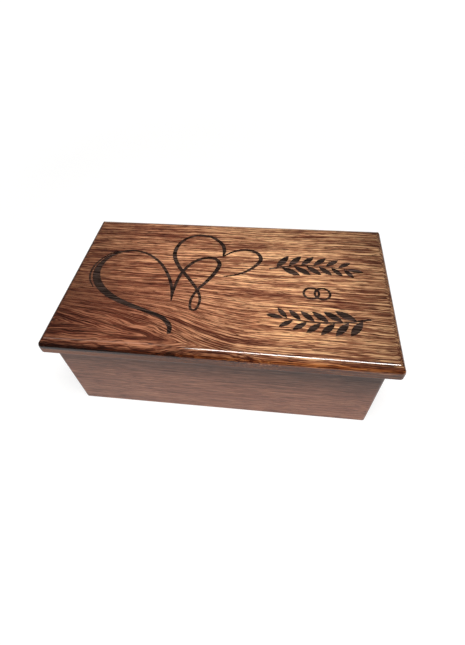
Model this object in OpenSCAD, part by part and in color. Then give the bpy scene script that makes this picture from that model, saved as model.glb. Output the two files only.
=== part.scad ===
// Hinged hardwood card box: a mitred case with a grooved-in base, and an overhanging
// solid lid on two brass butt hinges whose knuckles stop it just past upright.
// Frame: +X to the right, +Y to the back, +Z up, origin under the middle of the box.

/* [Lid] */
// Width of the lid, left to right
lid_w = 307; // [290:1:330]
// Depth of the lid, front to back
lid_d = 175.5; // [162:0.5:190]
// Thickness of the lid board
lid_t = 14; // [13:0.5:20]
// Radius routed on the lid's top edges
lid_round = 7.94; // [5:0.01:9]
// Radius of the lid's upright corners
lid_corner_r = 3.5; // [3:0.5:5]
// Lid overhang at each side of the case
side_overhang = 11.5; // [6:0.5:16]
// Lid overhang at the front of the case
front_overhang = 3.5; // [1:0.5:8]
// Gap between the closed lid and the case
lid_gap = 0.4; // [0.3:0.1:0.8]
// How far the lid swings back, in degrees; the hinge stops are cut for it
open_angle = 95; // [90:1:100]

/* [Case] */
// Height of the case walls
case_h = 83; // [70:1:95]
// Thickness of the case walls
wall_t = 12; // [12:0.5:14]
// Radius of the upright outer corners of the case
corner_r = 4; // [2:0.5:4]
// Radius sanded on the small edges
ease_r = 0.8; // [0.5:0.1:1]
// Thickness of the base panel
base_t = 6; // [5:0.5:8]
// Height of the base panel's underside above the table
base_lift = 4; // [3:0.5:6]
// Depth of the groove that holds the base panel
groove_depth = 5; // [4:0.5:6]
// Thickness of the felt on the base panel
felt_t = 1.5; // [1:0.1:2]

/* [Mitre splines] */
// Thickness of the loose spline inside each corner mitre
spline_t = 3; // [2:0.5:3.5]
// Width of the spline, across the mitre
spline_w = 8; // [6:0.5:9]
// Height at which the splines start
spline_z = 14; // [13:1:20]
// Distance from the tops of the splines to the top of the case
spline_stop = 8; // [6:1:20]

/* [Hinges] */
// Length of each hinge
hinge_len = 38; // [32:1:50]
// Distance of each hinge's middle from the box's centre line
hinge_x = 85; // [60:1:110]
// Width of a hinge leaf, let into the wood
leaf_w = 9; // [8:0.5:10]
// Thickness of a hinge leaf
leaf_t = 1.6; // [1.2:0.1:1.8]
// Outer radius of the knuckles
knuckle_r = 2.6; // [2.4:0.1:3]
// Radius of the hinge pin
pin_r = 1.25; // [1:0.05:1.4]

/* [Engraving] */
// Depth of the burnt engraving
engrave_depth = 0.5; // [0.3:0.1:1]

/* [Hidden] */

// Places that follow from the sizes above
face_clear = 0.15;                              // between a knuckle and the wood behind it
pin_back = knuckle_r + face_clear;              // pin axis behind the back faces
whole_d = lid_d + pin_back + knuckle_r;         // lid front to the backs of the knuckles
lid_front = -whole_d / 2;
back_y = lid_front + lid_d;                     // back faces of the lid and the case
case_front = lid_front + front_overhang;
case_w = lid_w - 2 * side_overhang;
case_d = back_y - case_front;
case_mid = (case_front + back_y) / 2;
lid_z = case_h + lid_gap;
top_z = lid_z + lid_t;
pin_y = back_y + pin_back;
pin_z = case_h + lid_gap / 2;
inner_w = case_w - 2 * wall_t;
inner_d = case_d - 2 * wall_t;
spline_inset = wall_t / 2 + 1.5;                // spline's middle from both outer faces

// Small fits
groove_spare = 0.5;                             // base panel to the bottom of its groove
felt_spare = 0.3;                               // felt to the walls
knuckles = 5;
knuckle_gap = 0.15;                             // end play between neighbouring knuckles
run_clear = 0.05;                               // radial play of the lid leaf on the pin
stop_clear = 0.05;                              // between a stop flat and the wood when fully open
past = 1;                                       // how far a cutter runs past a face

// Screws
screw_n = 3;
screw_pitch = 12.5;
screw_len = 9.6;
screw_core_r = 1;
screw_thread_r = 1.35;
screw_head_r = 2;
screw_head_h = 0.95;
screw_sink = 0.05;                              // head below the leaf's face
thread_pitch = 0.9;
thread_turns = 7;
slot_w = 0.5;
slot_depth = 0.4;

// Finish colours
wood = [0.42, 0.24, 0.15];
inner_wood = [0.52, 0.32, 0.2];
felt = [0.2, 0.1, 0.07];
brass = [0.78, 0.6, 0.3];

$fn = 48;

// ---- engraved artwork, drawn with X from the lid's centre and Y from the art_y line ----

// Each stroke is a list of [x, y, pen width] that a smooth curve runs through.
big_heart_body = [[-40.5, 18, 3.2], [-42, 27, 4.5], [-51.5, 36, 4.3], [-70, 43, 4.4], [-92, 51, 5.4],
    [-110, 61, 6.8], [-123, 74, 7.6], [-129, 89, 7], [-127, 104, 5.2], [-118, 116, 3.6],
    [-103, 122, 2.7], [-86, 118.5, 2.7], [-70, 107, 2.9], [-57.5, 90, 3.1], [-50, 73, 2.9],
    [-46.5, 55, 0.9]];
big_heart_hairline = [[-106, 122, 0.8], [-121.5, 117, 1.6], [-131.6, 104.5, 2], [-134.9, 91, 2.1],
    [-132.5, 78, 1.8], [-125, 67, 0.9]];
knot_stroke = [[-46.5, 55, 0.9], [-47, 74, 2.9], [-44, 93, 3.3], [-36, 108, 3.4], [-25, 115.5, 3.4],
    [-14, 115, 3.6], [-9, 107, 4.3], [-12, 95, 4.2], [-18, 83, 3.6], [-25, 71, 2.8],
    [-28.5, 60, 2.6], [-28.2, 51, 2.5], [-26.6, 47.2, 2.5], [-24, 46.4, 2.2],
    [-22, 48.5, 1]];
small_heart_body = [[-27, 48.6, 1], [-25, 46.3, 2.2], [-22.4, 47.3, 2.5], [-21, 51, 2.5], [-20.6, 60, 2.6],
    [-25, 71, 2.9], [-36, 86, 3.4], [-49, 102, 3.8], [-56.5, 118, 4.3], [-56, 133, 4],
    [-49, 145, 3.4], [-37, 151, 2.9], [-23, 149, 3.2], [-11, 139, 3.8], [-7, 129, 3.8], [-7, 119, 1.4]];
small_heart_lobe = [[-7, 119, 1.4], [2, 127, 2.6], [14, 131, 2.8], [26, 127.5, 3.6],
    [31, 117.5, 4], [25, 106, 3.2], [13, 96, 2.5], [-3, 90.5, 1]];
curve_steps = 8;
art_y = 1.4;                                    // from the lid's front edge

// Catmull-Rom curve through p, steps points to each span.
function spot(a, b, c, d, t) =
    0.5 * (2 * b + (c - a) * t + (2 * a - 5 * b + 4 * c - d) * t * t
    + (3 * b - a - 3 * c + d) * t * t * t);
function curve(p, steps) = let (last = len(p) - 1)
    [for (i = [0 : last - 1], k = [0 : steps - (i == last - 1 ? 0 : 1)])
        spot(p[max(i - 1, 0)], p[i], p[i + 1], p[min(i + 2, last)], k / steps)];

// One edge of a stroke: the curve moved sideways by half the pen width.
function heading(c, i) =
    let (a = c[max(i - 1, 0)], b = c[min(i + 1, len(c) - 1)], d = [b.x - a.x, b.y - a.y])
    d / norm(d);
function edge_line(c, side) = [for (i = [0 : len(c) - 1]) let (h = heading(c, i))
    [c[i].x - side * h.y * c[i].z / 2, c[i].y + side * h.x * c[i].z / 2]];
function reversed(p) = [for (i = [len(p) - 1 : -1 : 0]) p[i]];

module stroke(points) {
    c = curve(points, curve_steps);
    cut() polygon(concat(edge_line(c, 1), reversed(edge_line(c, -1))));
}

// The cutter for one engraved outline.
module cut() {
    translate([0, 0, top_z - engrave_depth]) linear_extrude(engrave_depth + past) children();
}

module hearts() {
    stroke(big_heart_body);
    stroke(big_heart_hairline);
    stroke(knot_stroke);
    stroke(small_heart_body);
    stroke(small_heart_lobe);
}

// A pointed leaf of the given length and width, its base at the origin and its tip along +X.
module leaf_shape(length, width) {
    r = (length * length / 4 + width * width / 4) / width;
    intersection() {
        translate([length / 2, r - width / 2]) circle(r, $fn = 96);
        translate([length / 2, width / 2 - r]) circle(r, $fn = 96);
    }
}

// A leafy sprig along an arched stem. Leaves go in pairs that shrink to the tip.
sprig_pairs = 6;
sprig_span = 90;
sprig_rise = 7;
leaf_pitch = 11.8;
leaf_size = [20.5, 7];                          // length and width of the lowest leaves
leaf_shrink = 0.06;                             // from each pair to the next
leaf_turn = 42;                                 // from the stem, in degrees
leaf_stagger = 5;                               // lower leaf of a pair ahead of the upper one
tip_leaf = [16, 5.2];
function stem_y(x) = sprig_rise * (1 - pow(2 * x / sprig_span, 2));
function stem_angle(x) = atan(-8 * sprig_rise * x / pow(sprig_span, 2));

module sprig() {
    tip_x = sprig_span / 2 - tip_leaf.x;
    stem_x = [for (i = [0 : 4]) -sprig_span / 2 + i * (tip_x + sprig_span / 2 + 1) / 4];
    stroke([for (i = [0 : 4]) [stem_x[i], stem_y(stem_x[i]), 2.1 - i * 0.28]]);
    for (i = [0 : sprig_pairs - 1], side = [-1, 1]) {
        x = -sprig_span / 2 + 7 + i * leaf_pitch + (side > 0 ? 0 : leaf_stagger);
        size = (1 - leaf_shrink * i) * leaf_size;
        cut() translate([x, stem_y(x) + side * 0.6])
            rotate(stem_angle(x) + side * leaf_turn) leaf_shape(size.x, size.y);
    }
    cut() translate([tip_x, stem_y(tip_x)]) rotate(stem_angle(tip_x))
        leaf_shape(tip_leaf.x, tip_leaf.y);
}

// Two linked rings.
ring_r = 8;
ring_line = 2.3;
ring_apart = 10;
module rings() {
    for (side = [-1, 1])
        cut() translate([side * ring_apart / 2, 0]) difference() {
            circle(ring_r);
            circle(ring_r - ring_line);
        }
}

ornament_x = 85;
module ornament() {
    translate([ornament_x, 105, 0]) sprig();
    translate([ornament_x, 75, 0]) rings();
    translate([ornament_x, 48, 0]) rotate(180) sprig();
}

// ---- case ----

// Quarter circle of points, for the small eased edges.
function quarter(x, y, r, from) =
    [for (k = [0 : 3]) [x + r * cos(from + 30 * k), y + r * sin(from + 30 * k)]];

module rounded_rect(w, d, r) {
    square([w - 2 * r, d], center = true);
    square([w, d - 2 * r], center = true);
    for (x = [-1, 1], y = [-1, 1]) translate([x * (w / 2 - r), y * (d / 2 - r)]) circle(r);
}

// Wall section: X is the distance in from the outer face, Y the height.
module wall_section() {
    e = ease_r;
    polygon(concat(quarter(e, e, e, 180), [[wall_t, 0], [wall_t, base_lift],
        [wall_t - groove_depth, base_lift], [wall_t - groove_depth, base_lift + base_t],
        [wall_t, base_lift + base_t]], quarter(wall_t - e, case_h - e, e, 0),
        quarter(e, case_h - e, e, 90)));
}

// A wall with its outer face at the given reach from the case's middle, turned to its side.
module case_wall(angle, length, reach) {
    intersection() {
        translate([0, case_mid, 0]) rotate(angle) translate([0, -reach, 0])
            wall_wedge(length);
        translate([0, case_mid, 0]) linear_extrude(case_h)
            rounded_rect(case_w, case_d, corner_r);
    }
}

// Wall with 45 degree ends: the section run along X, kept inside a wedge that narrows inwards.
module wall_wedge(length) {
    intersection() {
        translate([-length / 2, 0, 0]) rotate([90, 0, 90]) linear_extrude(length)
            wall_section();
        translate([0, 0, -past]) linear_extrude(case_h + 2 * past)
            polygon([[-length / 2, 0], [length / 2, 0],
                [length / 2 - 2 * wall_t, 2 * wall_t], [2 * wall_t - length / 2, 2 * wall_t]]);
    }
}

// The stopped slot for a spline, and the spline itself. side_x and side_y pick the corner.
module mitre_spline(side_x, side_y) {
    x = side_x * (case_w / 2 - spline_inset);
    y = case_mid + side_y * (case_d / 2 - spline_inset);
    translate([x, y, spline_z]) rotate(-side_x * side_y * 45)
        translate([-spline_w / 2, -spline_t / 2, 0])
            cube([spline_w, spline_t, case_h - spline_stop - spline_z]);
}

module front_panel() {
    color(wood) difference() {
        case_wall(0, case_w, case_d / 2);
        for (side = [-1, 1]) mitre_spline(side, -1);
    }
}

module back_panel() {
    color(wood) difference() {
        case_wall(180, case_w, case_d / 2);
        for (side = [-1, 1]) {
            mitre_spline(side, 1);
            at_hinge(side) case_recess();
        }
    }
}

// side is -1 for the left wall and 1 for the right one.
module side_panel(side) {
    color(wood) difference() {
        case_wall(side * 90, case_d, case_w / 2);
        for (end = [-1, 1]) mitre_spline(side, end);
    }
}

module base_panel() {
    w = inner_w + 2 * (groove_depth - groove_spare);
    d = inner_d + 2 * (groove_depth - groove_spare);
    color(inner_wood) translate([-w / 2, case_mid - d / 2, base_lift]) cube([w, d, base_t]);
}

module base_felt() {
    color(felt) translate([0, case_mid, base_lift + base_t]) linear_extrude(felt_t)
        rounded_rect(inner_w - 2 * felt_spare, inner_d - 2 * felt_spare, 1);
}

// ---- hinges, drawn round the pin axis: +Y is behind the box, the lid leaf lies above ----

module at_hinge(side) {
    translate([side * hinge_x, pin_y, pin_z]) children();
}

// Turns a lid leaf or screw over for the case side.
module for_case() {
    mirror([0, 0, 1]) children();
}

module along_x(r, from, to) {
    translate([from, 0, 0]) rotate([0, 90, 0]) cylinder(h = to - from, r = r);
}

knuckle_len = hinge_len / knuckles;
function knuckle_from(k) = -hinge_len / 2 + k * knuckle_len + (k == 0 ? 0 : knuckle_gap / 2);
function knuckle_to(k) =
    -hinge_len / 2 + (k + 1) * knuckle_len - (k == knuckles - 1 ? 0 : knuckle_gap / 2);

// The square toe on a knuckle. Its flat turns through open_angle to lie against the wood.
module stop_toe(from, to) {
    reach = pin_back - stop_clear;
    start = reach * [-cos(open_angle), -sin(open_angle)];
    rear = knuckle_r - 0.1;
    rear_z = start.y - (rear - start.x) / tan(open_angle);
    translate([from, 0, 0]) rotate([90, 0, 90]) linear_extrude(to - from)
        polygon([[0, 0], start, [rear, rear_z], [rear, 0]]);
}

// A leaf with the knuckles whose numbers are in own, bored to bore_r.
module hinge_leaf(own, bore_r) {
    neck = pin_back - pin_r - 0.35;             // stops short of the bore
    difference() {
        union() {
            translate([-hinge_len / 2, -pin_back - leaf_w, lid_gap / 2])
                cube([hinge_len, leaf_w, leaf_t]);
            for (k = own) {
                from = knuckle_from(k);
                to = knuckle_to(k);
                translate([from, -pin_back - past, lid_gap / 2])
                    cube([to - from, neck + past, leaf_t]);
                along_x(knuckle_r, from, to);
                stop_toe(from, to);
            }
        }
        along_x(bore_r, -hinge_len, hinge_len);
        at_screws() screw_hole();
    }
}

module at_screws() {
    for (i = [0 : screw_n - 1])
        translate([(i - (screw_n - 1) / 2) * screw_pitch, -pin_back - leaf_w / 2, lid_gap / 2])
            children();
}

// Countersunk hole through a leaf, opening downwards.
module screw_hole() {
    translate([0, 0, -past]) cylinder(h = leaf_t + 2 * past, r = screw_core_r + 0.1);
    translate([0, 0, -0.01])
        cylinder(h = screw_head_h + 0.06, r1 = screw_head_r + 0.06, r2 = screw_core_r + 0.06);
}

// Wood screw: countersunk slotted head at the bottom, point upwards.
module screw() {
    tip_h = 1.6;
    difference() {
        union() {
            cylinder(h = screw_head_h, r1 = screw_head_r, r2 = screw_core_r);
            cylinder(h = screw_len - tip_h, r = screw_core_r);
            translate([0, 0, screw_len - tip_h])
                cylinder(h = tip_h, r1 = screw_core_r, r2 = 0.15);
            for (i = [0 : thread_turns - 1])
                translate([0, 0, leaf_t + 0.4 + i * thread_pitch]) thread_ridge();
        }
        translate([-slot_w / 2, -screw_head_r - past, -past])
            cube([slot_w, 2 * (screw_head_r + past), slot_depth + past]);
    }
}

module thread_ridge() {
    flank = 0.35;
    cylinder(h = flank, r1 = screw_core_r - 0.05, r2 = screw_thread_r);
    translate([0, 0, flank]) cylinder(h = flank, r1 = screw_thread_r, r2 = screw_core_r - 0.05);
}

// What the wood of the lid loses to a leaf and its screws.
module lid_recess() {
    translate([-hinge_len / 2, -pin_back - leaf_w, 0])
        cube([hinge_len, leaf_w + past, lid_gap / 2 + leaf_t]);
    at_screws() cylinder(h = screw_len + 0.2, r = screw_thread_r + 0.02);
}

module case_recess() {
    for_case() lid_recess();
}

module case_leaf(side) {
    color(brass) at_hinge(side) for_case() hinge_leaf([0, 2, 4], pin_r);
}

module lid_leaf(side) {
    color(brass) at_hinge(side) hinge_leaf([1, 3], pin_r + run_clear);
}

module leaf_screws() {
    at_screws() translate([0, 0, screw_sink]) screw();
}

module case_screws(side) {
    color(brass) at_hinge(side) for_case() leaf_screws();
}

module lid_screws(side) {
    color(brass) at_hinge(side) leaf_screws();
}

// Pin with a low domed head at each end.
module hinge_pin(side) {
    head_r = 1.9;
    head_h = 0.9;
    color(brass) at_hinge(side) {
        along_x(pin_r, -hinge_len / 2 - head_h / 2, hinge_len / 2 + head_h / 2);
        for (end = [-1, 1]) translate([end * hinge_len / 2, 0, 0]) rotate([0, end * 90, 0]) {
            cylinder(h = head_h / 2, r = head_r);
            translate([0, 0, head_h / 2]) cylinder(h = head_h / 2, r1 = head_r, r2 = head_r * 0.6);
        }
    }
}

// ---- lid ----

// Section across the lid: eased bottom edges and quarter round top edges.
module lid_section(w) {
    e = ease_r;
    r = lid_round;
    polygon(concat(quarter(-w / 2 + e, lid_z + e, e, 180), quarter(w / 2 - e, lid_z + e, e, 270),
        [[w / 2, top_z - r], [-w / 2, top_z - r]]));
    intersection() {
        union() {
            translate([-w / 2 + r, top_z - r]) square([w - 2 * r, r]);
            for (side = [-1, 1]) translate([side * (w / 2 - r), top_z - r]) circle(r, $fn = 96);
        }
        translate([-w / 2 - past, top_z - r]) square([w + 2 * past, r + past]);
    }
}

// The same edge turned about an upright corner's own axis.
module corner_turning() {
    e = ease_r;
    rotate_extrude($fn = 96) intersection() {
        union() {
            polygon(concat([[0, lid_z]], quarter(lid_corner_r - e, lid_z + e, e, 270),
                [[lid_corner_r, top_z - lid_round], [0, top_z - lid_round]]));
            translate([lid_corner_r - lid_round, top_z - lid_round]) circle(lid_round, $fn = 96);
        }
        translate([0, lid_z]) square([lid_corner_r + past, lid_t]);
    }
}

module lid_blank() {
    x = lid_w / 2 - lid_corner_r;
    y = lid_d / 2 - lid_corner_r;
    reach = lid_corner_r + past;
    translate([0, lid_front + lid_d / 2, 0]) {
        difference() {
            intersection() {
                translate([-lid_w / 2, 0, 0]) rotate([90, 0, 90])
                    linear_extrude(lid_w) lid_section(lid_d);
                translate([0, lid_d / 2, 0]) rotate([90, 0, 0])
                    linear_extrude(lid_d) lid_section(lid_w);
            }
            for (side = [-1, 1], end = [-1, 1])
                translate([side * (x + reach / 2), end * (y + reach / 2), lid_z + lid_t / 2])
                    cube([reach, reach, lid_t + 2 * past], center = true);
        }
        for (side = [-1, 1], end = [-1, 1]) translate([side * x, end * y, 0]) corner_turning();
    }
}

module lid_board() {
    color(wood) difference() {
        lid_blank();
        for (side = [-1, 1]) at_hinge(side) lid_recess();
        translate([0, lid_front + art_y, 0]) {
            hearts();
            ornament();
        }
    }
}

front_panel();
back_panel();
side_panel(-1);  // left_panel
side_panel(1);  // right_panel
base_panel();
base_felt();
color(inner_wood) mitre_spline(-1, -1);  // mitre_spline_front_left
color(inner_wood) mitre_spline(1, -1);  // mitre_spline_front_right
color(inner_wood) mitre_spline(-1, 1);  // mitre_spline_back_left
color(inner_wood) mitre_spline(1, 1);  // mitre_spline_back_right
case_leaf(-1);  // left_hinge_case_leaf
lid_leaf(-1);  // left_hinge_lid_leaf
hinge_pin(-1);  // left_hinge_pin
case_screws(-1);  // left_hinge_case_screws
lid_screws(-1);  // left_hinge_lid_screws
case_leaf(1);  // right_hinge_case_leaf
lid_leaf(1);  // right_hinge_lid_leaf
hinge_pin(1);  // right_hinge_pin
case_screws(1);  // right_hinge_case_screws
lid_screws(1);  // right_hinge_lid_screws
lid_board();
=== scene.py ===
"""Looks for a hinged hardwood card box: varnished, laser-engraved lid, satin case, brass hinges.

Lengths are metres, colours are linear RGB, and noise rates are cells per metre.
"""

import math

import bmesh
import bpy
from mathutils import Matrix, Vector


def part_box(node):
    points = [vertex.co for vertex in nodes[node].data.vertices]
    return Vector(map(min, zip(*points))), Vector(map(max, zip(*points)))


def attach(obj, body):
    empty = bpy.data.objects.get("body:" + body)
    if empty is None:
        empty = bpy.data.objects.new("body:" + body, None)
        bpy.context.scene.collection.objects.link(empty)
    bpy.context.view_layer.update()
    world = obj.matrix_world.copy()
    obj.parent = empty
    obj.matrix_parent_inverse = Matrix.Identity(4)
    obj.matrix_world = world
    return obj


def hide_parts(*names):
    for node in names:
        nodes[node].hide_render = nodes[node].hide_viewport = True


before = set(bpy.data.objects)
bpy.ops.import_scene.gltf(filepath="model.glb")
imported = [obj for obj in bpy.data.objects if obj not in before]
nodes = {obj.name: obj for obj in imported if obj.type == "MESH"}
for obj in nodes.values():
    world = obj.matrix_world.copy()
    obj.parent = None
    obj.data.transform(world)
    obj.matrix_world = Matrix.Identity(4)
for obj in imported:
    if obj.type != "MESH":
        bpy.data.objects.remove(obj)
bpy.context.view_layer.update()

LID_LOW, LID_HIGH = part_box("lid_board")
LID_TOP = LID_HIGH.z
LID_MID_Y = (LID_LOW.y + LID_HIGH.y) / 2
LID_HALF_Y = (LID_HIGH.y - LID_LOW.y) / 2
LID_ROUND = 0.00794             # radius of the lid's top edges
# Depths below the lid's top: where burning starts, where it is full, and past every engraving.
BURN_START, BURN_FULL, BURN_END = 0.00005, 0.0002, 0.002

# Dark, middle and light tones of each wood.
LID_TONES = ((0.06, 0.014, 0.009), (0.29, 0.115, 0.059), (0.79, 0.47, 0.243))
WALL_TONES = ((0.095, 0.031, 0.015), (0.235, 0.086, 0.047), (0.40, 0.17, 0.092))
GROWTH_LINE = (0.04, 0.010, 0.005)
CHAR, ASH = (0.006, 0.004, 0.0035), (0.12, 0.078, 0.065)
LEAF_BRASS, SCREW_BRASS = (0.62, 0.42, 0.17), (0.7, 0.5, 0.22)
FELT_DARK, FELT_LIGHT, FELT_SHADE = (0.045, 0.012, 0.01), (0.12, 0.035, 0.025), (0.03, 0.008, 0.007)

# Layers of the grain: streak length and width, noise detail and roughness, and share in the tone.
GRAIN = {
    "band": (0.20, 0.012, 2, 0.5, 0.10),
    "glow": (0.060, 0.009, 1, 0.5, 0.12),
    "ribbon": (0.13, 0.0024, 1, 0.5, 0.22),
    "fibre": (0.044, 0.00098, 1, 0.5, 0.56),
    "hair": (0.014, 0.00060, 2, 0.6, 0.60),
}
PORE = (0.009, 0.0006, 1, 0.4)  # streak length and width, noise detail and roughness


# ---------------------------------------------------------------- node helpers

class Finish:
    """One procedural material: a Principled shader and short calls that add nodes before it."""

    def __init__(self, name):
        self.material = bpy.data.materials.new(name)
        self.material.use_nodes = True
        self.tree = self.material.node_tree
        self.shader = self.tree.nodes["Principled BSDF"]
        self.object_point = self.add("ShaderNodeTexCoord").outputs["Object"]

    def add(self, kind, **settings):
        node = self.tree.nodes.new(kind)
        for key, value in settings.items():
            setattr(node, key, value)
        return node

    def put(self, socket, value):
        """Links an output into a socket, or sets the socket to a plain value."""
        if isinstance(value, bpy.types.NodeSocket):
            self.tree.links.new(value, socket)
        else:
            socket.default_value = value

    def put_all(self, sockets, values):
        for socket, value in zip(sockets, values):
            self.put(socket, value)

    def math(self, operation, *values, clamp=False):
        node = self.add("ShaderNodeMath", operation=operation, use_clamp=clamp)
        self.put_all(node.inputs, values)
        return node.outputs[0]

    def product(self, result, *others):
        for value in others:
            result = self.math("MULTIPLY", result, value)
        return result

    def remap(self, value, low, high, to_low=0.0, to_high=1.0, smooth=True):
        """value from low..high to to_low..to_high, held at both ends."""
        kind = "SMOOTHSTEP" if smooth else "LINEAR"
        node = self.add("ShaderNodeMapRange", interpolation_type=kind)
        self.put_all(node.inputs, (value, low, high, to_low, to_high))
        return node.outputs[0]

    def split(self, vector):
        node = self.add("ShaderNodeSeparateXYZ")
        self.put(node.inputs[0], vector)
        return node.outputs

    def join(self, x, y, z):
        node = self.add("ShaderNodeCombineXYZ")
        self.put_all(node.inputs, (x, y, z))
        return node.outputs[0]

    def scaled(self, *rates):
        """The object's own point, with x, y and z each multiplied by a rate."""
        node = self.add("ShaderNodeVectorMath", operation="MULTIPLY")
        self.put_all(node.inputs, (self.object_point, rates))
        return node.outputs["Vector"]

    def length(self, vector):
        node = self.add("ShaderNodeVectorMath", operation="LENGTH")
        self.put(node.inputs[0], vector)
        return node.outputs["Value"]

    def reach(self, x, y, centre, radii):
        """How far x, y is from the centre of an oval: 0 there, 1 on the oval."""
        offsets = (self.math("SUBTRACT", value, middle) for value, middle in zip((x, y), centre))
        shares = (self.math("DIVIDE", offset, radius) for offset, radius in zip(offsets, radii))
        return self.length(self.join(*shares, 0.0))

    def noise(self, vector, detail=2.0, rough=0.5):
        """Noise with one cell per unit of vector, about 0.5 with a spread of 0.15."""
        node = self.add("ShaderNodeTexNoise")
        node.inputs["Scale"].default_value = 1.0
        node.inputs["Detail"].default_value = detail
        node.inputs["Roughness"].default_value = rough
        self.put(node.inputs["Vector"], vector)
        return node.outputs["Fac"]

    def mix(self, share, low, high, blend="MIX"):
        node = self.add("ShaderNodeMix", data_type="RGBA", blend_type=blend)
        self.put(node.inputs["Factor"], share)
        for side, colour in (("A", low), ("B", high)):
            self.put(node.inputs[side], (*colour, 1.0) if isinstance(colour, tuple) else colour)
        return node.outputs["Result"]

    def tint(self, colour, share, factors):
        """The colour, multiplied by factors as far as share goes."""
        return self.mix(share, colour, factors, "MULTIPLY")

    def brighten(self, colour, factor):
        """The colour, with all three channels multiplied by one factor."""
        return self.tint(colour, 1.0, self.join(factor, factor, factor))

    def bump(self, height, distance, strength=1.0):
        node = self.add("ShaderNodeBump")
        node.inputs["Strength"].default_value = strength
        node.inputs["Distance"].default_value = distance
        self.put(node.inputs["Height"], height)
        return node.outputs["Normal"]

    def set(self, **sockets):
        """Sets the shader's sockets; names are given with _ for the spaces."""
        for name, value in sockets.items():
            self.put(self.shader.inputs[name.replace("_", " ")], value)
        return self.material


# ---------------------------------------------------------------- wood

def wood(name, along, seed, tones, contrast=1.0, figure=None):
    """Sapele-like timber with its grain along X or Y: the finish, its colour and the grain's parts.

    Each seed takes another part of the pattern. figure(finish, x, y) may bend the grain: what it
    returns is added to v, the place across it.
    """
    f = Finish(name)
    x, y, z = f.split(f.object_point)
    u, v, w = (x, y, z) if along == "X" else (y, x, z)
    u = f.math("ADD", u, seed * 1.7)
    w = f.math("ADD", w, seed * 0.9)
    sway_size = 0.012
    sway = f.noise(f.join(f.product(u, 6), f.product(v, 12), f.product(w, 12)))
    v = f.math("ADD", v, f.product(f.math("SUBTRACT", sway, 0.5), sway_size))
    if figure:
        v = f.math("ADD", v, figure(f, x, y))

    def streaks(length, width, detail, rough):
        """Noise from -1 to 1 drawn out along the grain."""
        sizes = zip((u, v, w), (length, width, width))
        point = f.join(*(f.math("DIVIDE", place, size) for place, size in sizes))
        return f.remap(f.noise(point, detail, rough), 0.25, 0.75, -1.0, 1.0, smooth=False)

    grain = {}
    tone = 0.5
    for part, (*shape, share) in GRAIN.items():
        grain[part] = streaks(*shape)
        tone = f.math("ADD", tone, f.product(grain[part], share * contrast))
    dark, middle, light = tones
    colour = f.mix(f.remap(tone, 0.0, 0.5, smooth=False), dark, middle)
    colour = f.mix(f.remap(tone, 0.5, 1.0, smooth=False), colour, light)

    pore_strength, pore_colour = 0.85, tuple(0.6 * c for c in dark)
    pore = f.remap(streaks(*PORE), 0.28, 0.6)
    colour = f.mix(f.product(pore, pore_strength * contrast), colour, pore_colour)
    grain.update(pore=pore, across=v, depth=w)
    return f, colour, grain


# Places on the lid are x and y in the box's own frame: x runs right and y runs back.

def lid_figure(f, x, y):
    """Bends the lid's grain: down to the right at the front left, and to points below a crease."""
    calm_x = 0.05                   # the grain is straight from here to the right
    bend_slope, waver_size = 0.26, 0.0045
    crease_y, crease_slope, fold_slope = -0.083, 0.13, 2.0

    front_left = f.product(f.remap(x, calm_x, -0.07), f.remap(y, -0.002, -0.055))
    bend = f.product(front_left, f.math("SUBTRACT", x, calm_x), bend_slope)
    crease = f.math("SUBTRACT", crease_y, f.product(x, crease_slope))
    fold = f.product(f.math("MAXIMUM", f.math("SUBTRACT", crease, y), 0.0), fold_slope)
    waver = f.math("SUBTRACT", f.noise(f.scaled(45, 90, 0), 1), 0.5)
    waver = f.product(front_left, waver, waver_size)
    return f.math("ADD", f.math("ADD", bend, fold), waver)


def growth_lines(f, colour, grain, x, y):
    """Thin dark lines that follow the grain, strongest at the front left."""
    spacing, depth_slope, strength = 0.013, 0.8, 0.75
    place = f.math("ADD", grain["across"], f.product(grain["depth"], depth_slope))
    wave = f.math("SINE", f.product(place, 2 * math.pi / spacing))
    where = f.product(f.remap(x, 0.06, -0.05), f.remap(y, -0.02, -0.05))
    return f.mix(f.product(f.remap(wave, 0.94, 0.995), where, strength), colour, GROWTH_LINE)


def board_colour_and_painted_light(f, colour, x, y):
    """The lid's slow changes: redder wood to the left; a painted pool of light over the middle,
    painted shade at its ends, front and back right, painted light at the back left, and a painted
    golden sheen at the front right.
    """
    redder = f.product(f.remap(x, 0.12, -0.08), f.remap(y, 0.04, -0.06, 0.12, 1.0))
    colour = f.tint(colour, redder, (0.70, 0.56, 0.58))
    colour = f.tint(colour, f.remap(x, 0.03, -0.11), (1.02, 0.87, 0.88))

    # Painted light and shade: a pool of painted light over the middle, painted shade at the ends and
    # front, lighter at the back left and darker at the back right.
    middle = f.remap(f.reach(x, y, (0.03, 0.0), (0.1613, 0.125)), 0.1, 1.1, 1.14, 0.66)
    from_middle = f.math("ABSOLUTE", f.math("SUBTRACT", x, 0.008))
    ends = f.remap(from_middle, 0.085, 0.165, 1.0, 0.65)
    back = f.remap(y, 0.03, 0.08, 1.0, f.remap(x, -0.08, 0.05, 1.10, 0.93))
    front = f.remap(f.math("ADD", y, f.product(x, 0.5)), -0.045, -0.085, 1.0, 0.88)
    colour = f.brighten(colour, f.product(middle, ends, back, front))

    # A painted golden sheen at the front right.
    painted_sheen = f.remap(f.reach(x, y, (0.065, -0.05), (0.0625, 0.03125)), 1.0, 0.0)
    return f.tint(colour, painted_sheen, (1.26, 1.28, 1.22))


def on_flat_top(f, x, y):
    """1 over the lid's flat top and the engraving in it, 0 over the rounded edges."""
    in_x = f.math("LESS_THAN", f.math("ABSOLUTE", x), LID_HIGH.x - LID_ROUND)
    from_middle = f.math("ABSOLUTE", f.math("SUBTRACT", y, LID_MID_Y))
    in_y = f.math("LESS_THAN", from_middle, LID_HALF_Y - LID_ROUND)
    return f.product(in_x, in_y)


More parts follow.
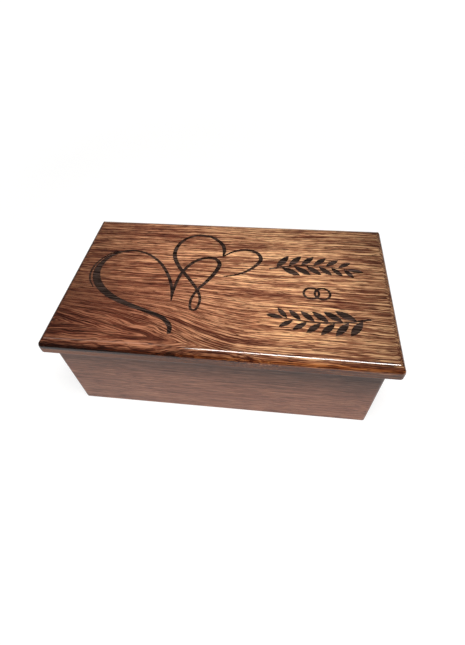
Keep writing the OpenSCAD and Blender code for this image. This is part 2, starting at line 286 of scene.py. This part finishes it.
def painted_round_shade(f, colour, x, z, flat_top):
    """Painted shade on the rounded edges: darker and redder from the top arris down, most of all at
    the left and least at the right.
    """
    arris_depth, full_depth = 0.0002, 0.0038
    below = f.remap(z, LID_TOP - arris_depth, LID_TOP - full_depth)
    share = f.product(below, f.math("SUBTRACT", 1.0, flat_top))
    left, right = (0.12, 0.042, 0.02), (0.85, 0.52, 0.30)
    return f.tint(colour, share, f.mix(f.remap(x, -0.12, 0.12), left, right))


def side_colour_with_painted_light(f, colour, x, side):
    """A plainer colour over the lid's upright sides, through which the grain still shows, with
    painted light at the left and painted shade towards the right.
    """
    cover = 0.4
    # Painted light and shade: the plain colour is light at the left and dark at the right.
    left, middle, right = (0.48, 0.155, 0.06), (0.17, 0.052, 0.018), (0.10, 0.028, 0.009)
    plain = f.mix(f.remap(x, 0.0, 0.1), middle, right)
    plain = f.mix(f.remap(x, -0.13, 0.0), left, plain)
    return f.mix(side, colour, f.mix(cover, colour, plain))


def burnt_colour(f, colour, grain, burnt):
    """Charred engraving, greyer along the grain."""
    ash = f.math("ADD", f.product(grain["fibre"], 0.6), f.product(grain["hair"], 0.5))
    return f.mix(burnt, colour, f.mix(f.remap(ash, -0.1, 0.8, smooth=False), CHAR, ASH))


def lid_finish():
    f, colour, grain = wood("lid_varnished_sapele", "X", 3, LID_TONES, figure=lid_figure)
    x, y, z = f.split(f.object_point)
    flat_top = on_flat_top(f, x, y)
    # The rounding turns into the upright side one radius down.
    side = f.remap(z, LID_TOP - 0.93 * LID_ROUND, LID_TOP - 1.05 * LID_ROUND)
    sunk = f.product(f.remap(z, LID_TOP - BURN_START, LID_TOP - BURN_FULL),
                     f.math("GREATER_THAN", z, LID_TOP - BURN_END))
    burnt = f.product(flat_top, sunk)

    colour = growth_lines(f, colour, grain, x, y)
    colour = board_colour_and_painted_light(f, colour, x, y)
    colour = painted_round_shade(f, colour, x, z, flat_top)
    colour = side_colour_with_painted_light(f, colour, x, side)
    colour = burnt_colour(f, colour, grain, burnt)

    rough = f.remap(grain["ribbon"], -1.0, 1.0, 0.55, 0.42, smooth=False)
    rough = f.math("ADD", rough, f.product(burnt, 0.4), clamp=True)
    height = f.math("ADD", f.product(grain["fibre"], 0.3), f.product(grain["ribbon"], 0.4))
    height = f.math("SUBTRACT", height, f.product(grain["pore"], 0.2))
    unvarnished = f.math("MAXIMUM", f.product(burnt, 0.85), f.product(side, 0.45))
    varnish_skin = f.noise(f.scaled(160, 220, 220))
    return f.set(
        Base_Color=colour,
        Roughness=rough,
        Normal=f.bump(height, 0.0006, 0.7),
        Specular_IOR_Level=0.1,
        Specular_Tint=(1.0, 0.62, 0.34, 1.0),
        Coat_Weight=f.math("SUBTRACT", 1.0, unvarnished),
        Coat_Roughness=0.06,
        Coat_IOR=1.5,
        Coat_Normal=f.bump(varnish_skin, 0.00006, 0.6),
    )


def wall_finish(name, along, seed, warm=(1.0, 1.0, 1.0)):
    """Satin walls: the same wood with a closed, softer grain, and painted shade: darker up the wall
    towards the lid and at the left end, lighter towards the bottom.
    """
    tones = tuple(tuple(c * w for c, w in zip(tone, warm)) for tone in WALL_TONES)
    f, colour, grain = wood(name, along, seed, tones, contrast=0.62)
    x, _, z = f.split(f.object_point)
    up_the_wall = f.math("ADD", z, f.product(x, 0.10))
    # Painted shade under the lid's overhang, fading to painted light near the bottom, and painted
    # shade at the left end.
    painted_shade_up_the_wall = f.remap(up_the_wall, 0.034, 0.096, 1.16, 0.38)
    colour = f.brighten(colour, f.product(painted_shade_up_the_wall, f.remap(x, -0.14, -0.02, 0.86, 1.0)))
    height = f.math("SUBTRACT", f.product(grain["fibre"], 0.4), f.product(grain["pore"], 0.4))
    return f.set(
        Base_Color=colour,
        Roughness=f.remap(grain["fibre"], -1.0, 1.0, 0.5, 0.4, smooth=False),
        Normal=f.bump(height, 0.0002, 0.6),
        Specular_IOR_Level=0.4,
    )


# ---------------------------------------------------------------- metal and felt

def brass_finish(name, colour, rough):
    """Brass with fine brushing along the hinge, and duller patches."""
    f = Finish(name)
    brush = f.noise(f.scaled(120, 5200, 5200))
    dull = f.remap(f.noise(f.scaled(260, 300, 300), 3), 0.42, 0.68)
    return f.set(
        Base_Color=f.mix(f.product(dull, 0.5), colour, tuple(0.55 * c for c in colour)),
        Metallic=1.0,
        Roughness=f.math("ADD", rough, f.product(dull, 0.18)),
        Normal=f.bump(brush, 0.00003, 0.5),
    )


def felt_finish():
    f = Finish("felt_matted")
    fuzz = f.noise(f.scaled(1400, 1400, 1400), 4, 0.7)
    mottle = f.noise(f.scaled(90, 90, 90), 3)
    colour = f.mix(f.remap(fuzz, 0.3, 0.7), FELT_DARK, FELT_LIGHT)
    return f.set(
        Base_Color=f.mix(f.product(mottle, 0.3), colour, FELT_SHADE),
        Roughness=0.95,
        Normal=f.bump(fuzz, 0.0005, 0.8),
        Sheen_Weight=0.5,
        Sheen_Roughness=0.5,
    )


# ---------------------------------------------------------------- pieces

def link_object(name, data):
    """A new object with this data, in the scene."""
    made = bpy.data.objects.new(name, data)
    bpy.context.scene.collection.objects.link(made)
    return made


def dress(name, material):
    piece = nodes[name]
    piece.data.materials.clear()
    piece.data.materials.append(material)


def finish_nodes():
    dress("lid_board", lid_finish())
    walls = (("front", "X", 11), ("back", "X", 17), ("left", "Y", 23), ("right", "Y", 29),
             ("base", "X", 37))
    for side, along, seed in walls:
        dress(f"{side}_panel", wall_finish(f"{side}_satin_sapele", along, seed))
    spline = wall_finish("spline_wood", "X", 41, warm=(1.5, 1.6, 1.4))
    leaf = brass_finish("hinge_brass_brushed", LEAF_BRASS, 0.3)
    screw = brass_finish("screw_brass_polished", SCREW_BRASS, 0.22)
    for name in nodes:
        if name.startswith("mitre_spline"):
            dress(name, spline)
        elif name.endswith(("_leaf", "_pin")):
            dress(name, leaf)
        elif name.endswith("_screws"):
            dress(name, screw)


def felt_sheet():
    """The felt: a closed sheet on the base panel, with a gently uneven top."""
    low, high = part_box("base_felt")
    columns, rows = 96, 54
    top_z, rim_z = high.z - 0.0004, high.z - 0.0007
    wave_height = 0.00012

    def wave(s, t):
        return wave_height * (math.sin(31 * s + 5 * t) + math.sin(23 * t - 9 * s)
                              + math.sin(57 * s * t + 3))

    mesh = bmesh.new()
    grid = []
    for j in range(rows + 1):
        t = j / rows
        row = []
        for i in range(columns + 1):
            s = i / columns
            inner = 0 < i < columns and 0 < j < rows
            z = top_z + wave(s, t) if inner else rim_z
            row.append(mesh.verts.new((low.x + (high.x - low.x) * s,
                                       low.y + (high.y - low.y) * t, z)))
        grid.append(row)
    for j in range(rows):
        for i in range(columns):
            mesh.faces.new((grid[j][i], grid[j][i + 1], grid[j + 1][i + 1], grid[j + 1][i]))
    right = [row[-1] for row in grid[1:]]
    left = [row[0] for row in reversed(grid[1:-1])]
    rim = [*grid[0], *right, *reversed(grid[-1][:-1]), *left]
    underside = [mesh.verts.new((point.co.x, point.co.y, low.z)) for point in rim]
    for k in range(len(rim)):
        n = (k + 1) % len(rim)
        mesh.faces.new((rim[n], rim[k], underside[k], underside[n]))
    mesh.faces.new(list(reversed(underside)))
    bmesh.ops.recalc_face_normals(mesh, faces=mesh.faces)

    data = bpy.data.meshes.new("felt_liner")
    mesh.to_mesh(data)
    mesh.free()
    for face in data.polygons:
        face.use_smooth = True
    data.materials.append(felt_finish())
    piece = link_object("felt_liner", data)
    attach(piece, "case")
    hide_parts("base_felt")


# ---------------------------------------------------------------- stage, lights, camera

def stage_piece(name, points, faces, material):
    data = bpy.data.meshes.new(name)
    data.from_pydata(points, [], faces)
    data.materials.append(material)
    piece = link_object(name, data)
    return piece


def floor_finish():
    """Pale grey that glows a little, so that it reads as white paper."""
    f = Finish("floor_pale")
    cloud = f.noise(f.scaled(3, 3, 0), 3)
    return f.set(
        Base_Color=f.mix(cloud, (0.21, 0.21, 0.21), (0.25, 0.25, 0.25)),
        Roughness=0.9,
        Specular_IOR_Level=0.0,
        Emission_Color=(1.0, 1.0, 1.0, 1.0),
        Emission_Strength=f.remap(f.length(f.object_point), 0.2, 1.2, 0.83, 1.02),
    )


def floor():
    half = 6.0
    corners = [(-half, -half, 0), (half, -half, 0), (half, half, 0), (-half, half, 0)]
    stage_piece("floor", corners, [(0, 1, 2, 3)], floor_finish())


def cards():
    """Low black cards round the box, unseen themselves, that keep the far floor out of its gloss."""
    height = 0.14
    front = ((-0.9, -0.33), (0.9, -0.33))
    left, right = ((-0.36, -0.3), (-0.36, 0.4)), ((0.36, 0.4), (0.36, -0.3))
    points, faces = [], []
    for start, end in (front, left, right):
        faces.append(tuple(range(len(points), len(points) + 4)))
        points += [(*start, 0), (*end, 0), (*end, height), (*start, height)]
    black = Finish("flag_black").set(
        Base_Color=(0.015, 0.015, 0.015, 1.0), Roughness=1.0, Specular_IOR_Level=0.0)
    card = stage_piece("flag", points, faces, black)
    card.visible_camera = False
    card.visible_shadow = False


def area_light(name, place, aim, size, radiance, tint=(1.0, 1.0, 1.0), shine=False, turn=0.0):
    """A rectangular lamp, placed and aimed from the middle of the lid's front top edge.

    radiance is its own brightness, so its power follows from its size. A lamp gives either the
    shine or the rest of the light. turn, in degrees, spins it about its beam.
    """
    lamp = bpy.data.lights.new(name, "AREA")
    lamp.shape = "RECTANGLE"
    lamp.size, lamp.size_y = size
    lamp.energy = radiance * math.pi * size[0] * size[1]
    lamp.color = tint
    holder = link_object(name, lamp)
    holder.location = Vector((0.0, LID_LOW.y, LID_TOP)) + Vector(place)
    beam = Vector(aim) - Vector(place)
    holder.rotation_euler = beam.to_track_quat("-Z", "Y").to_euler()
    holder.rotation_euler.rotate_axis("Z", math.radians(turn))
    holder.visible_glossy = shine
    holder.visible_diffuse = not shine


def lights():
    area_light("key", (0.07, -0.08, 0.70), (0.02, 0.07, 0), (0.34, 0.34), 22, (1.0, 0.98, 0.95))
    area_light("fill", (-0.5, -1.3, 0.9), (0, 0, -0.08), (0.9, 0.6), 1.6)
    area_light("strip", (0.13, -0.05, 0.95), (0.13, -0.05, 0), (0.74, 0.14), 36,
               shine=True, turn=-20)
    area_light("faint_strip", (-0.5, 0.19, 0.8), (0, 0, 0), (0.6, 0.10), 4, (1.0, 0.74, 0.6),
               shine=True, turn=-20)

    world = bpy.data.worlds.new("studio")
    world.use_nodes = True
    background = world.node_tree.nodes["Background"]
    background.inputs["Color"].default_value = (1.0, 1.0, 1.0, 1.0)
    background.inputs["Strength"].default_value = 0.06
    bpy.context.scene.world = world


def camera():
    """Close above the front edge, a little right of the middle, with a wide lens."""
    eye = Vector((0.0469, LID_LOW.y - 0.1695, LID_TOP + 0.2551))
    # Radians: heading to the right of straight back, pitch down, and roll anticlockwise.
    heading, pitch, roll = -0.166, 0.885, -0.063
    level = math.cos(pitch)
    ahead = Vector((math.sin(heading) * level, math.cos(heading) * level, -math.sin(pitch)))
    right = Vector((math.cos(heading), -math.sin(heading), 0))
    up = right.cross(ahead)
    turned_right = math.cos(roll) * right + math.sin(roll) * up
    turned_up = math.cos(roll) * up - math.sin(roll) * right
    data = bpy.data.cameras.new("camera")
    data.sensor_width = 36
    data.lens = 21.32
    data.clip_start = 0.01
    holder = link_object("camera", data)
    turn = Matrix((turned_right, turned_up, -ahead)).transposed()
    holder.matrix_world = Matrix.Translation(eye) @ turn.to_4x4()
    bpy.context.scene.camera = holder


camera()
finish_nodes()
felt_sheet()
floor()
cards()
lights()
bpy.context.scene.view_settings.view_transform = "Standard"
